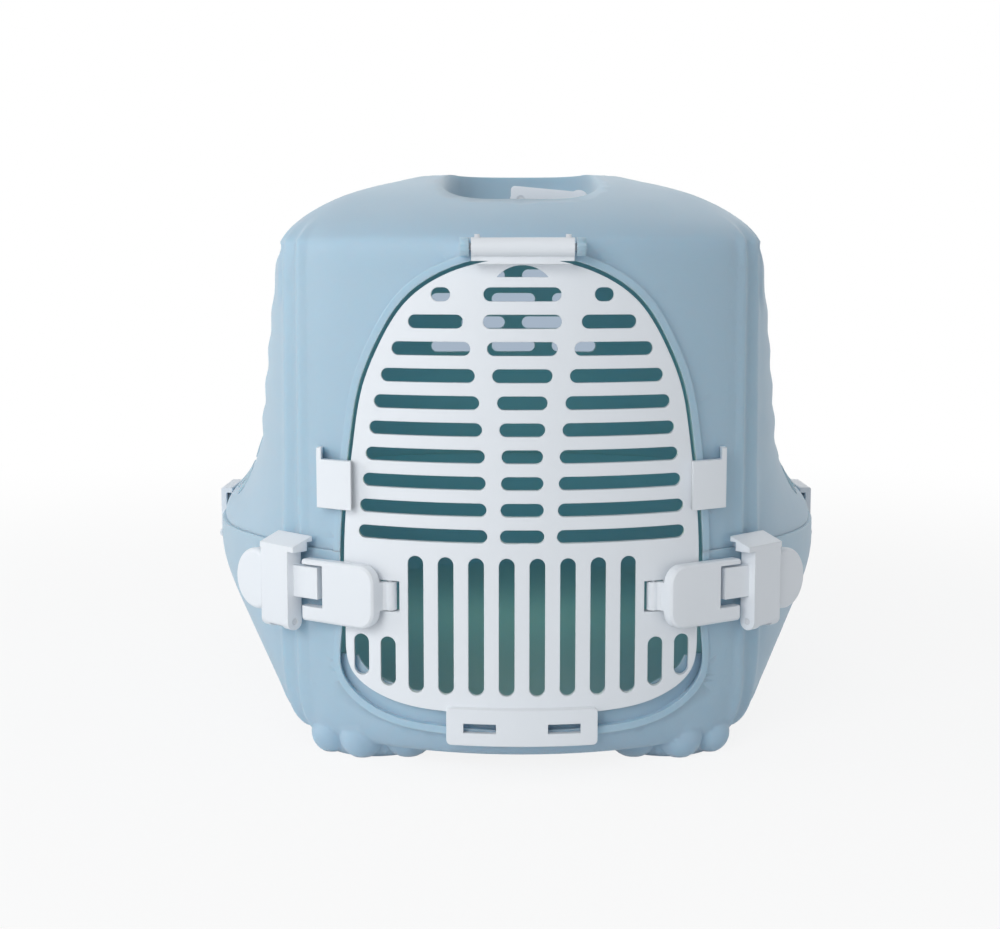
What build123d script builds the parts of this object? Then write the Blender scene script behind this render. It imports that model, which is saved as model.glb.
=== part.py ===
from build123d import *
import math
import os

# Pet carrier: a tray and a domed top that meet at a level seam, held by four hooked clips,
# with a top-hung slotted door, two latch levers on it and a folding carry handle in a scoop.
# Millimetres. X to the right of the front, Y to the back, Z up, origin on the floor
# under the middle of the carrier. The front faces -Y.

# Overall form
WALL = 2.6                # shell wall
SEAM_Z = 100.0            # top of the tray's form, before the seam is cut
TOP_Z = 274.0             # flat crown of the dome
SHOULDER_Z = 236.0        # height where the dome starts to round over
DOME_START = 2.0          # height above the shoulder where wall and dome are joined
BELLY_Z = 8.0             # underside of the tray above the floor
NOSE_Y = -90.0            # centre of the round front face
NOSE_R = 147.5            # radius of the round front face
REAR_LEAN = 16.0          # how far the rear wall leans in at the shoulder
WIDE_Y = 30.0             # widest place, front to back
CORNER_ANGLE = 40.0       # degrees of nose on each side before the corner starts
DOME_CENTRE_Y = -5.0

# Half widths at the widest place, from the floor up (height, half width)
FLARE = ((8.0, 112.0), (22.0, 128.0), (34.0, 145.0), (46.0, 158.0), (58.0, 167.0), (70.0, 171.5),
         (84.0, 172.5), (96.0, 168.0), (104.0, 160.5), (114.0, 153.0), (126.0, 146.5), (138.0, 143.0),
         (160.0, 139.0), (182.0, 134.5), (202.0, 129.5), (220.0, 123.0), (236.0, 116.0))
STEP_OUT = 1.4            # how far the tray stands proud of the top
SEAM_LINE = ((-262.0, 97.0), (-185.0, 97.0), (-90.0, 90.0), (30.0, 84.5), (150.0, 88.0), (262.0, 92.0))
UNDERCUT = ((8.0, 8.5), (12.0, 4.8), (18.0, 2.2), (26.0, 0.6), (34.0, 0.0))

# Upright pleats at the front corners and level waves on the sides
PLEAT_PITCH = 17.0
PLEAT_DEPTH = 1.5
PLEAT_COUNT = 2
PLEAT_TOP_Z = 252.0
WAVE_PITCH = 18.5
WAVE_DEPTH = 1.1
WAVE_LOW_Z = 130.0

# Door opening and door
DOOR_R = 150.0            # outer face of the door, on the same centre as the nose
DOOR_THICK = 3.0
DOOR_EDGE = ((0.0, 229.5), (30.0, 224.0), (50.0, 211.5), (63.0, 192.0), (70.5, 174.0), (75.0, 150.0),
             (79.0, 118.0), (80.2, 90.0), (79.8, 62.0), (77.0, 44.0), (66.0, 35.5), (33.5, 29.5), (0.0, 28.5))
DOOR_GAP = 1.8
SILL_DROP = 5.0           # extra room under the door
BEAD_WIDE = 3.4
BEAD_R = 150.3

ROW_TOP_Z = 214.0
ROW_PITCH = 11.72
ROW_COUNT = 10
ROW_HIGH = 6.0
ROW_EDGE = 6.5            # door rim left outside a row
CENTRE_HALF = ((108.0, 9.7), (144.0, 9.0), (168.0, 11.0), (191.0, 15.3), (202.0, 17.0), (214.0, 16.8))
SIDE_START = ((108.0, 15.2), (144.0, 16.3), (168.0, 18.8), (191.0, 22.6), (202.0, 25.5), (214.0, 31.2))
BAR_PITCH = 13.45
BAR_SLOT = 6.9
LONG_COUNT = 8
LONG_LOW_Z = 37.0
LONG_TOP_Z = 99.0
SHORT_X = (59.8, 72.2)
SHORT_TOP_Z = 61.5
SHORT_LOW_Z = 39.0
MOON_Z = 221.4
MOON_HALF = 11.2
MOON_HIGH = 5.1

# Door hinge
HINGE_R = 156.0
HINGE_Z = 234.2
BARREL_R = 3.9
BARREL_HALF = 22.0
DOOR_PIN_R = 1.5
PIN_CLEAR = 0.06          # radial running clearance of every hinge pin
BOSS_GAP = 0.8
BOSS_LONG = 4.0
WEB_LOW_Z = 226.8         # underside of the web between the plate and the barrel
WEB_STEP = 1.4
BEAD_CLEAR = 0.9
POST_X = 19.4
POST_WIDE = 2.3
POST_RISE = 5.3

# The rear wall reaches as far behind the middle as the hinge barrel reaches before it
REAR_Y = HINGE_R + BARREL_R - NOSE_Y - STEP_OUT

# Bottom tab and side guides of the door
TAB_HALF = 33.5
TAB_LOW_Z = 15.6
TAB_TOP_Z = 32.0
TAB_THICK = 3.0
TAB_STANDOFF = 0.8
TAB_CORNER = 2.2
TAB_SLOT_X = 18.7
TAB_SLOT_LONG = 14.5
TAB_SLOT_HIGH = 4.2
TAB_SLOT_Z = 23.4
GUIDE_LOW_Z = 118.0
GUIDE_TOP_Z = 140.0
GUIDE_FIN_Z = 145.0       # top of the outer fin
GUIDE_INNER_X = 76.0
GUIDE_OUTER_X = 92.5
GUIDE_LIP = 2.4
GUIDE_THICK = 3.6

# Front corner clips: a bar that hooks over a catch on the top and turns on a pin in the tray
CLIP_ANGLE = 45.0         # where the clip stands round the nose centre
CLIP_FACE_R = 161.0
CLIP_THICK = 8.0
CLIP_WIDE = 20.0
CLIP_PIN_Z = 64.0
CLIP_PIN_R = 1.4
CLIP_TOP_Z = 99.5
HOOK_WIDE = 25.0
HOOK_SHIFT = 2.0          # the hook plate reaches further towards the door
HOOK_REACH = 3.0          # past the inner face of the bar
HOOK_THICK = 2.5
HOOK_RISE = 1.6
CATCH_WIDE = 18.0
CATCH_THICK = 3.0
HOOK_CLEAR = 0.4
LUG_WIDE = 9.0
LUG_R = 2.7
LUG_CLEAR = 0.5
PAD_R = 14.4
PAD_OUT = 9.2             # pad centre past the edge of the bar
PAD_THICK = 5.5
PAD_Z = 80.5
PAD_ROUND = 2.2
TONGUE_LOW_Z = 76.0
TONGUE_TOP_Z = 90.5
TONGUE_THICK = 4.0
TONGUE_GAP = 3.0          # between the end of the tongue and the end of the notch

# Latch levers on the door
LEVER_YAW = 34.0          # direction that the plate faces, round the nose centre
LEVER_PIN_X = 58.5        # pin centre from the middle of the door
LEVER_PIN_DEEP = 1.7      # pin centre behind the outer face of the door
LEVER_BACK = 151.6        # back of the plate from the nose centre
LEVER_THICK = 5.2
LEVER_START = 1.7         # plate's inner end short of the pin
LEVER_LONG = 41.8
LEVER_LOW_Z = 65.5
LEVER_TOP_Z = 94.0
LEVER_CORNER = 8.0
LEVER_EDGE = 1.0
NOTCH_LONG = 12.8
NOTCH_LOW_Z = 72.3
NOTCH_TOP_Z = 91.6
LEVER_PIN_R = 1.1
LEVER_PIN_LONG = 22.0
LEVER_EYE_R = 2.7
LOCK_HOLE_WIDE = 8.6
LOCK_HOLE_HIGH = 14.0
LOCK_Z = 80.0
LOCK_SIDE_GAP = 0.6
LOCK_BOSS_DEEP = 3.4
LOCK_BOSS_RIM = 6.0

# Side clips
SIDE_CLIP_Y = 45.0
SIDE_CLIP_LONG = 40.0
SIDE_CLIP_THICK = 3.2
SIDE_CLIP_GAP = 0.5       # off the widest part of the tray
SIDE_PIN_Z = 68.0
SIDE_PIN_R = 1.2
SIDE_EYE_R = 2.8
SIDE_LUG_LONG = 12.0
SIDE_LUG_R = 2.3
SIDE_HOOK_Z = 92.0
SIDE_HOOK_THICK = 3.2
SIDE_HOOK_REACH = 3.6     # past the inner face of the clip
SIDE_CATCH_LONG = 30.0
SIDE_CATCH_THICK = 3.0
WAIST_Z = 84.0            # widest level

# Carry handle and its scoop
SCOOP_Y = -129.0
SCOOP_HALF_X = 38.5
SCOOP_HALF_Y = 67.0
SCOOP_FLOOR_Z = 238.0
SCOOP_CORNER = 9.0
SCOOP_SQUARE = 0.62       # 1 is an oval, less is squarer
HANDLE_PIN_Z = 257.0
HANDLE_HALF_Y = 44.0      # middle of an arm from the middle of the scoop
ARM_LONG = 27.0
ARM_THICK = 6.0
ARM_ROOT_HALF = 6.6
ARM_TIP_HALF = 3.7
ARM_BACK = 4.6            # how far the arm passes behind its pin
GRIP_R = 4.6
HANDLE_PIN_R = 1.8
EAR_THICK = 5.0
EAR_GAP = 0.4
EAR_HALF = 4.6

# Paw feet
FOOT_X = 68.0
FOOT_Y = 183.0
LEG_R = 31.0              # at its top, inside the tray
LEG_FLOOR_R = 24.0
LEG_HIGH = 44.0
TOES = ((-52.5, -202.5, 13.0), (-73.5, -204.0, 11.0), (-88.5, -195.0, 10.0))   # place and radius, left foot
TOE_SINK = 1.2            # toes are cut flat this far up

# Vents
VENT_ROWS = ((150.0, 6.0), (129.0, 12.0), (109.5, 14.0))
VENT_WIDE = 9.0
VENT_PITCH = 28.0
VENT_COUNT = 6
VENT_MID_Y = 20.0
REAR_VENT_LONG = 32.0
REAR_VENT_HIGH = 9.0
REAR_VENT_GAP_X = 12.0
REAR_VENT_PITCH_Z = 17.0
REAR_VENT_TOP_Z = 222.0
REAR_VENT_ROWS = 4


def between(value, stations):
    """Straight interpolation through (place, amount) pairs."""
    if value <= stations[0][0]:
        return stations[0][1]
    for low, high in zip(stations, stations[1:]):
        if value <= high[0]:
            share = (value - low[0]) / (high[0] - low[0])
            return low[1] + share * (high[1] - low[1])
    return stations[-1][1]


def dome_share(z):
    """0 at the shoulder, 1 at the crown."""
    return max(0.0, (z - SHOULDER_Z) / (TOP_Z + WALL - SHOULDER_Z))


SIDE_SHARES = [0.0, 0.028, 0.056, 0.084, 0.112, 0.14, 0.168, 0.196, 0.224, 0.26, 0.36, 0.5, 0.65, 0.82]


def half_outline(z, grow):
    """Right half of the level outline from nose to tail, moved out by grow."""
    level = min(z, SHOULDER_Z)
    wide = between(level, FLARE)
    if level > WAVE_LOW_Z:
        wide += WAVE_DEPTH * math.cos(2 * math.pi * (level - WAVE_LOW_Z) / WAVE_PITCH)
    rear = REAR_Y - REAR_LEAN * max(0.0, (level - 150.0) / (SHOULDER_Z - 150.0)) ** 2
    corner = math.radians(CORNER_ANGLE)
    points = []
    for step in range(5):
        turn = corner * step / 5
        points.append((NOSE_R * math.sin(turn), NOSE_Y - NOSE_R * math.cos(turn)))
    start = Vector(NOSE_R * math.sin(corner), NOSE_Y - NOSE_R * math.cos(corner))
    end = Vector(wide, WIDE_Y)
    leave = Vector(math.cos(corner), math.sin(corner)) * 150
    arrive = Vector(0, 1) * 230
    for t in SIDE_SHARES:
        p = (start * (2 * t ** 3 - 3 * t ** 2 + 1) + leave * (t ** 3 - 2 * t ** 2 + t)
             + end * (3 * t ** 2 - 2 * t ** 3) + arrive * (t ** 3 - t ** 2))
        points.append((p.X, p.Y))
    for step in range(9):
        turn = math.pi / 2 * step / 8
        points.append((wide * math.cos(turn) ** 0.72, WIDE_Y + (rear - WIDE_Y) * math.sin(turn) ** 0.72))
    points[-1] = (0.0, rear)

    # Pleats are measured along the outline from the corner
    moved = []
    run = 0.0
    tuck = between(z, UNDERCUT)
    for index, (x, y) in enumerate(points):
        before = points[max(index - 1, 0)]
        after = points[min(index + 1, len(points) - 1)]
        tangent = Vector(after[0] - before[0], after[1] - before[1]).normalized()
        if index == 0:
            tangent = Vector(1, 0)
        if index == len(points) - 1:
            tangent = Vector(-1, 0)
        if index > 5:
            run += math.dist(points[index], points[index - 1])
        fold = 0.0
        if index > 5 and run < PLEAT_PITCH * PLEAT_COUNT and z < PLEAT_TOP_Z:
            fold = -PLEAT_DEPTH * math.cos(2 * math.pi * run / PLEAT_PITCH)
            fold *= min(1.0, (PLEAT_TOP_Z - z) / 12.0)
        shift = grow + fold - tuck
        moved.append((x + tangent.Y * shift, y - tangent.X * shift))
    return moved


def level_outline(z, grow):
    """Closed outline of the body at height z, as points in order."""
    right = half_outline(z, grow)
    share = dome_share(z)
    across = (1 - share ** 1.5) ** 0.385
    along = (1 - share ** 1.5) ** 0.45
    right = [(x * across, DOME_CENTRE_Y + (y - DOME_CENTRE_Y) * along) for x, y in right]
    left = [(-x, y) for x, y in reversed(right[1:-1])]
    return right + left


def body_loft(levels, grow, lift=0.0):
    """Solid through the level outlines; lift moves the outline heights, for an inner skin."""
    with BuildPart() as body:
        for z in levels:
            with BuildSketch(Plane.XY.offset(z)):
                with BuildLine():
                    Spline(*level_outline(z + lift, grow), periodic=True)
                make_face()
        loft()
    return body.part


def spread(low, high, count):
    return [low + (high - low) * step / count for step in range(count + 1)]


def front_outline(gap, low_gap):
    """Egg-shaped outline of the door in the XZ plane, moved out by gap (low_gap below)."""
    points = []
    for index, (x, z) in enumerate(DOOR_EDGE):
        before = DOOR_EDGE[max(index - 1, 0)]
        after = DOOR_EDGE[min(index + 1, len(DOOR_EDGE) - 1)]
        tangent = Vector(after[0] - before[0], after[1] - before[1]).normalized()
        if index in (0, len(DOOR_EDGE) - 1):
            tangent = Vector(1 if index == 0 else -1, 0)
        amount = gap + (low_gap - gap) * max(0.0, min(1.0, (60.0 - z) / 25.0))
        points.append((x - tangent.Y * amount, z + tangent.X * amount))
    left = [(-x, z) for x, z in reversed(points[1:-1])]
    return points + left


def front_prism(outline, low_y=-300.0, high_y=-150.0):
    """Straight prism along Y of an outline drawn in the XZ plane."""
    with BuildPart() as prism:
        with BuildSketch(Plane(origin=(0, high_y, 0), x_dir=(1, 0, 0), z_dir=(0, -1, 0))):
            with BuildLine():
                Spline(*outline, periodic=True)
            make_face()
        extrude(amount=high_y - low_y)
    return prism.part


def nose_band(inner_r, outer_r, low_z, high_z):
    """Front half of a ring about the nose centre."""
    with BuildPart() as band:
        with BuildSketch(Plane.XY.offset(low_z)):
            with Locations((0, NOSE_Y)):
                Circle(outer_r)
                Circle(inner_r, mode=Mode.SUBTRACT)
            with Locations((0, NOSE_Y + outer_r)):
                Rectangle(2 * outer_r, 2 * outer_r, mode=Mode.SUBTRACT)
        extrude(amount=high_z - low_z)
    return band.part


def corner_plane(angle, radius, z=0.0):
    """Upright plane facing out from the left half of the nose: local X towards the middle, Y up."""
    turn = math.radians(angle)
    out = Vector(-math.sin(turn), -math.cos(turn), 0)
    origin = Vector(0, NOSE_Y, z) + out * radius
    return Plane(origin=origin, x_dir=Vector(math.cos(turn), -math.sin(turn), 0), z_dir=out)


def rod(plane, radius, length):
    """Round rod centred on the plane's origin, along its normal."""
    with BuildPart() as bar:
        with BuildSketch(plane.offset(-length / 2)):
            Circle(radius)
        extrude(amount=length)
    return bar.part


def block(low, high):
    """Square block between two corners."""
    with BuildPart() as box:
        with BuildSketch(Plane.XY.offset(low[2])):
            with Locations(((low[0] + high[0]) / 2, (low[1] + high[1]) / 2)):
                Rectangle(high[0] - low[0], high[1] - low[1])
        extrude(amount=high[2] - low[2])
    return box.part


def slab(plane, corners, thick):
    """Flat piece with straight edges, centred on the plane."""
    with BuildPart() as piece:
        with BuildSketch(plane.offset(-thick / 2)):
            with BuildLine():
                Polyline(*corners, close=True)
            make_face()
        extrude(amount=thick)
    return piece.part


def side_profile_plane(plane, shift=0.0):
    """Plane across the corner: local X out from the nose centre, local Y up."""
    origin = Vector(0, NOSE_Y, 0) + plane.x_dir * shift
    return Plane(origin=origin, x_dir=plane.z_dir, z_dir=plane.z_dir.cross(Vector(0, 0, 1)))


# Bodies of the two shells, outside and inside skins
tray_levels = [BELLY_Z, 12.0, 18.0, 26.0, 36.0, 48.0, 60.0, 73.0, 86.0, SEAM_Z]
wall_levels = [80.0, 88.0, 96.0, 104.5, 113.0, 121.5]
wall_levels += [WAVE_LOW_Z + WAVE_PITCH / 2 * step for step in range(12)]
wall_levels.append(SHOULDER_Z + DOME_START)
dome_high = TOP_Z + WALL - SHOULDER_Z
crown_turn = math.asin(((TOP_Z - SHOULDER_Z) / dome_high) ** 0.75)
shoulder_turn = math.asin((DOME_START / dome_high) ** 0.75)
dome_levels = []
for turn in spread(shoulder_turn, crown_turn, 6):
    dome_levels.append(SHOULDER_Z + dome_high * math.sin(turn) ** (4 / 3))

tray_outer = body_loft(tray_levels, STEP_OUT)
tray_inner = body_loft([z + WALL for z in tray_levels], STEP_OUT - WALL, lift=-WALL)
top_outer = body_loft(wall_levels, 0.0) + body_loft(dome_levels, 0.0)
top_inner = (body_loft([z - WALL for z in wall_levels], -WALL, lift=WALL)
             + body_loft([z - WALL for z in dome_levels], -WALL, lift=WALL))

# Everything below the seam
with BuildPart() as below_seam:
    with BuildSketch(Plane.YZ.offset(-200)):
        with BuildLine():
            rim_line = Spline(*SEAM_LINE)
            Polyline(SEAM_LINE[-1], (SEAM_LINE[-1][0], -5.0), (SEAM_LINE[0][0], -5.0), SEAM_LINE[0])
        make_face()
    extrude(amount=400)

# The door opening, the bead round it and the sill behind the foot of the door
opening = front_prism(front_outline(DOOR_GAP, DOOR_GAP + SILL_DROP))
bead_face = front_prism(front_outline(DOOR_GAP + BEAD_WIDE, DOOR_GAP + SILL_DROP + BEAD_WIDE))
bead = (bead_face - opening) & nose_band(NOSE_R - 5.0, BEAD_R, TAB_LOW_Z - 2, SHOULDER_Z + 2)
sill_face = bead_face - front_prism(front_outline(-4.0, -6.0))
sill_back = DOOR_R - DOOR_THICK - 1.0
sill = sill_face & nose_band(sill_back - WALL, sill_back, TAB_LOW_Z, 50.0)

# Places on the shells for the corner clips, on the left
clip_face = corner_plane(CLIP_ANGLE, CLIP_FACE_R)
clip_side = side_profile_plane(clip_face)
clip_pin_r = CLIP_FACE_R - CLIP_THICK / 2
lug_root_r = NOSE_R - 1.0
lug_corners = ((lug_root_r, CLIP_PIN_Z - LUG_R), (clip_pin_r, CLIP_PIN_Z - LUG_R),
               (clip_pin_r, CLIP_PIN_Z + LUG_R), (lug_root_r, CLIP_PIN_Z + LUG_R))
clip_lug = slab(clip_side, lug_corners, LUG_WIDE)
clip_axis = Plane(origin=clip_side.from_local_coords((clip_pin_r, CLIP_PIN_Z, 0)), z_dir=clip_side.z_dir)
clip_lug = clip_lug + rod(clip_axis, LUG_R, LUG_WIDE)
catch_top_z = CLIP_TOP_Z + HOOK_RISE - HOOK_CLEAR
catch_out_r = CLIP_FACE_R - CLIP_THICK - HOOK_CLEAR
catch_root_r = NOSE_R - 1.5
catch_low_z = catch_top_z - CATCH_THICK
catch_corners = ((catch_root_r, catch_low_z), (catch_out_r, catch_low_z),
                 (catch_out_r, catch_top_z), (catch_root_r, catch_top_z))
corner_catch = slab(clip_side, catch_corners, CATCH_WIDE)
clip_bore = rod(clip_axis, CLIP_PIN_R + PIN_CLEAR, CLIP_WIDE + 1)

# Places for the side clips
waist = between(WAIST_Z, FLARE) + STEP_OUT
side_inner_x = waist + SIDE_CLIP_GAP
side_pin_x = side_inner_x + SIDE_CLIP_THICK / 2
side_axis = Plane(origin=(-side_pin_x, SIDE_CLIP_Y, SIDE_PIN_Z), z_dir=(0, 1, 0))
side_lug = rod(side_axis, SIDE_LUG_R, SIDE_LUG_LONG)
side_lug = side_lug + block((-side_pin_x, SIDE_CLIP_Y - SIDE_LUG_LONG / 2, SIDE_PIN_Z - SIDE_LUG_R),
                            (-waist + 5.0, SIDE_CLIP_Y + SIDE_LUG_LONG / 2, SIDE_PIN_Z + SIDE_LUG_R))
side_catch_top = SIDE_HOOK_Z - HOOK_CLEAR
side_catch = block((-waist + 0.3, SIDE_CLIP_Y - SIDE_CATCH_LONG / 2, side_catch_top - SIDE_CATCH_THICK),
                   (-waist + 7.0, SIDE_CLIP_Y + SIDE_CATCH_LONG / 2, side_catch_top))
side_bore = rod(side_axis, SIDE_PIN_R + PIN_CLEAR, SIDE_CLIP_LONG + 1)


def paw(across, along):
    """A tapered leg with three rounded toes, cut flat on the floor."""
    with BuildPart() as foot:
        for z, radius in ((0.0, LEG_FLOOR_R), (LEG_HIGH * 0.4, LEG_R - 1.5), (LEG_HIGH, LEG_R)):
            with BuildSketch(Plane.XY.offset(z)):
                with Locations((across * FOOT_X, along * FOOT_Y)):
                    Circle(radius)
        loft()
        for x, y, radius in TOES:
            with Locations((-across * x, -along * y, radius - TOE_SINK)):
                Sphere(radius)
        with Locations((across * FOOT_X, along * FOOT_Y, -50.0)):
            Box(200, 200, 100, mode=Mode.SUBTRACT)
    return foot.part


# Vents in the sides and the rear
with BuildPart() as side_vents:
    with BuildSketch(Plane.YZ.offset(-200)):
        for z, high in VENT_ROWS:
            for step in range(VENT_COUNT):
                with Locations((VENT_MID_Y + (step - (VENT_COUNT - 1) / 2) * VENT_PITCH, z)):
                    Ellipse(VENT_WIDE / 2, high / 2)
    extrude(amount=400)
with BuildPart() as rear_vents:
    with BuildSketch(Plane.XZ.offset(-REAR_Y - 10)):
        for row in range(REAR_VENT_ROWS):
            count = 3 if row % 2 else 2
            for step in range(count):
                across = (step - (count - 1) / 2) * (REAR_VENT_LONG + REAR_VENT_GAP_X)
                with Locations((across, REAR_VENT_TOP_Z - row * REAR_VENT_PITCH_Z)):
                    SlotOverall(REAR_VENT_LONG, REAR_VENT_HIGH)
    extrude(amount=60)


def scoop_outline(half_x, half_y):
    """Squarish oval, as points in order."""
    points = []
    for step in range(24):
        turn = 2 * math.pi * step / 24
        across = math.copysign(abs(math.cos(turn)) ** SCOOP_SQUARE, math.cos(turn))
        along = math.copysign(abs(math.sin(turn)) ** SCOOP_SQUARE, math.sin(turn))
        points.append((half_x * across, SCOOP_Y + half_y * along))
    return points


def scoop(grow, low_z, high_z):
    """The handle's hollow, wider by grow."""
    with BuildPart() as bowl:
        for z, inset in ((low_z, SCOOP_CORNER), (low_z + SCOOP_CORNER, 1.5), (high_z, 0.0)):
            with BuildSketch(Plane.XY.offset(z)):
                half_x = SCOOP_HALF_X + grow - inset
                half_y = SCOOP_HALF_Y + grow - inset
                with BuildLine():
                    Spline(*scoop_outline(half_x, half_y), periodic=True)
                make_face()
        loft(ruled=True)
    return bowl.part


scoop_wall = scoop(WALL, SCOOP_FLOOR_Z - WALL, TOP_Z + 10) & top_outer
scoop_room = scoop(0.0, SCOOP_FLOOR_Z, TOP_Z + 10)

handle_axis = Plane(origin=(0, SCOOP_Y, HANDLE_PIN_Z), x_dir=(1, 0, 0), z_dir=(0, -1, 0))
ear_reach = HANDLE_HALF_Y - ARM_THICK / 2 - EAR_GAP - EAR_THICK / 2
ears = []
for side in (-1, 1):
    middle = SCOOP_Y + side * ear_reach
    foot = block((-EAR_HALF, middle - EAR_THICK / 2, SCOOP_FLOOR_Z - WALL / 2),
                 (EAR_HALF, middle + EAR_THICK / 2, HANDLE_PIN_Z))
    ears.append(foot + rod(handle_axis.offset(-side * ear_reach), EAR_HALF, EAR_THICK))

# Bosses that carry the door's hinge pins
hinge_axis = Plane(origin=(0, NOSE_Y - HINGE_R, HINGE_Z), x_dir=(0, 1, 0), z_dir=(1, 0, 0))
boss_middle = BARREL_HALF + BOSS_GAP + BOSS_LONG / 2
bosses = []
for side in (-1, 1):
    knob = rod(hinge_axis.offset(side * boss_middle), BARREL_R, BOSS_LONG)
    stem = block((side * boss_middle - BOSS_LONG / 2, NOSE_Y - HINGE_R, HINGE_Z - BARREL_R),
                 (side * boss_middle + BOSS_LONG / 2, NOSE_Y - NOSE_R + 4.0, HINGE_Z + BARREL_R - 1.0))
    bosses.append(knob + stem)
pin_inset = 8.0
pin_length = pin_inset + BOSS_GAP + BOSS_LONG - 0.5
pin_middle = BARREL_HALF - pin_inset + pin_length / 2
door_bores = []
for side in (-1, 1):
    door_bores.append(rod(hinge_axis.offset(side * pin_middle), DOOR_PIN_R + PIN_CLEAR, pin_length + 0.4))

handle_bore = rod(handle_axis, HANDLE_PIN_R + PIN_CLEAR, 2 * HANDLE_HALF_Y + ARM_THICK + 2)

# Tray
with BuildPart() as lower_shell:
    add(tray_outer)
    for across in (-1, 1):
        for along in (-1, 1):
            add(paw(across, along))
    add(bead & below_seam.part)
    for piece in (clip_lug, side_lug):
        add(piece)
        add(mirror(piece, about=Plane.YZ))
    add(tray_inner, mode=Mode.SUBTRACT)
    add(below_seam.part, mode=Mode.INTERSECT)
    add(opening, mode=Mode.SUBTRACT)
    add(sill & below_seam.part)
    for bore in (clip_bore, side_bore):
        add(bore, mode=Mode.SUBTRACT)
        add(mirror(bore, about=Plane.YZ), mode=Mode.SUBTRACT)

# Top
with BuildPart() as upper_shell:
    add(top_outer)
    add(bead - below_seam.part)
    for piece in (corner_catch, side_catch):
        add(piece)
        add(mirror(piece, about=Plane.YZ))
    add(bosses)
    add(top_inner, mode=Mode.SUBTRACT)
    add(below_seam.part, mode=Mode.SUBTRACT)
    add(opening, mode=Mode.SUBTRACT)
    add(scoop_wall)
    add(scoop_room, mode=Mode.SUBTRACT)
    add(ears)
    add(side_vents.part, mode=Mode.SUBTRACT)
    add(rear_vents.part, mode=Mode.SUBTRACT)
    add(door_bores + [handle_bore], mode=Mode.SUBTRACT)


def door_half(z):
    """Half width of the door at height z."""
    edge = sorted((height, x) for x, height in DOOR_EDGE)
    return between(z, edge)


front_view = Plane(origin=(0, -100, 0), x_dir=(1, 0, 0), z_dir=(0, -1, 0))

# Slots of the door, drawn from the front
with BuildPart() as door_slots:
    with BuildSketch(front_view):
        for row in range(ROW_COUNT):
            z = ROW_TOP_Z - row * ROW_PITCH
            outer_end = door_half(z) - ROW_EDGE
            start = between(z, SIDE_START)
            with Locations((0, z)):
                SlotOverall(2 * between(z, CENTRE_HALF), ROW_HIGH)
            for side in (-1, 1):
                with Locations((side * (start + outer_end) / 2, z)):
                    SlotOverall(outer_end - start, ROW_HIGH)
        for bar in range(LONG_COUNT):
            with Locations(((bar - (LONG_COUNT - 1) / 2) * BAR_PITCH, (LONG_LOW_Z + LONG_TOP_Z) / 2)):
                SlotOverall(LONG_TOP_Z - LONG_LOW_Z, BAR_SLOT, rotation=90)
        for x in SHORT_X:
            low_z = SHORT_LOW_Z + (3.5 if x == SHORT_X[-1] else 0.0)
            for side in (-1, 1):
                with Locations((side * x, (low_z + SHORT_TOP_Z) / 2)):
                    SlotOverall(SHORT_TOP_Z - low_z, BAR_SLOT, rotation=90)
        moon_r = (MOON_HALF ** 2 + MOON_HIGH ** 2) / (2 * MOON_HIGH)
        with BuildLine():
            ThreePointArc((-MOON_HALF, MOON_Z), (0, MOON_Z + MOON_HIGH), (MOON_HALF, MOON_Z))
            Line((MOON_HALF, MOON_Z), (-MOON_HALF, MOON_Z))
        make_face()
        for side in (-1, 1):
            with Locations((side * TAB_SLOT_X, TAB_SLOT_Z)):
                Rectangle(TAB_SLOT_LONG, TAB_SLOT_HIGH)
            hole_x = LEVER_PIN_X + 0.3
            with Locations((side * hole_x, LOCK_Z)):
                Rectangle(LOCK_HOLE_WIDE, LOCK_HOLE_HIGH)
    extrude(amount=220)

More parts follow.
